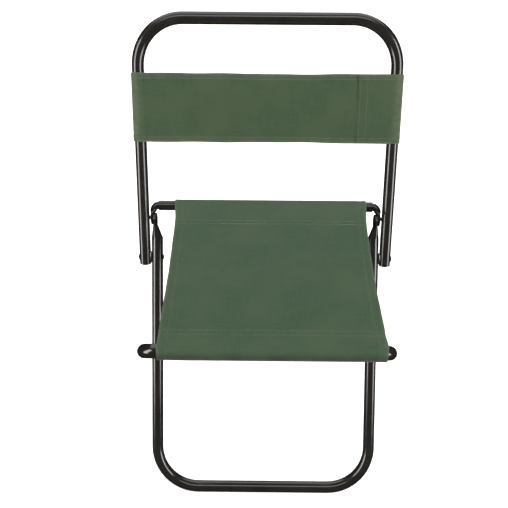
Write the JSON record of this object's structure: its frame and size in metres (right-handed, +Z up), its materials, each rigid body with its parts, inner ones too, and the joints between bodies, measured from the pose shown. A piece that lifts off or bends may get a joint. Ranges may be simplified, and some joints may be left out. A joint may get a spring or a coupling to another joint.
{
  "type": "folding camp stool with backrest",
  "caption": "Folding camp stool: crossed bent tube leg frames, a sling seat of cloth between its bars, and a pivoting U-shaped back frame with a cloth band.",
  "frame": {"origin": "on the floor, in the middle of the stool's bounding box", "axes": "+X to the sitter's left, +Y to the back, +Z up"},
  "size_m": [0.3616, 0.381, 0.5789],
  "materials": {
    "frame_enamel": "gloss",
    "bar_enamel": "gloss",
    "rivet_steel": "gloss",
    "zinc_washer": "satin",
    "end_plug": "matte",
    "canvas": "matte"
  },
  "bodies": {
    "outer_frame": {"outer_leg_frame": "frame_enamel", "rear_seat_bar": "bar_enamel", "scissor_rivet_left": "rivet_steel", "scissor_rivet_right": "rivet_steel", "scissor_washer_left": "zinc_washer", "scissor_washer_right": "zinc_washer", "back_rivet_left": "rivet_steel", "back_rivet_right": "rivet_steel", "back_washer_left": "zinc_washer", "back_washer_right": "zinc_washer", "stop_rivet_left": "rivet_steel", "stop_rivet_right": "rivet_steel", "stop_washer_left": "zinc_washer", "stop_washer_right": "zinc_washer", "seat_cloth": "canvas", "seat_rear_sleeve": "canvas"},
    "inner_frame": {"inner_leg_frame": "frame_enamel", "rear_floor_bar": "bar_enamel", "foot_rivet_left": "rivet_steel", "foot_rivet_right": "rivet_steel", "seat_front_sleeve": "canvas"},
    "backrest": {"back_frame": "frame_enamel", "back_plug_left": "end_plug", "back_plug_right": "end_plug", "back_cloth": "canvas"}
  },
  "joints": [
    {"name": "fold", "type": "hinge", "parent": "outer_frame", "child": "inner_frame", "pos_m": [0, -0.03468, 0.16995], "axis": [-1, 0, 0], "range_deg": [0, 70], "deforming": ["seat_cloth"]},
    {"name": "backrest_pivot", "type": "hinge", "parent": "outer_frame", "child": "backrest", "pos_m": [0, 0.0461, 0.28077], "axis": [1, 0, 0], "range_deg": [0, 86.5]}
  ]
}
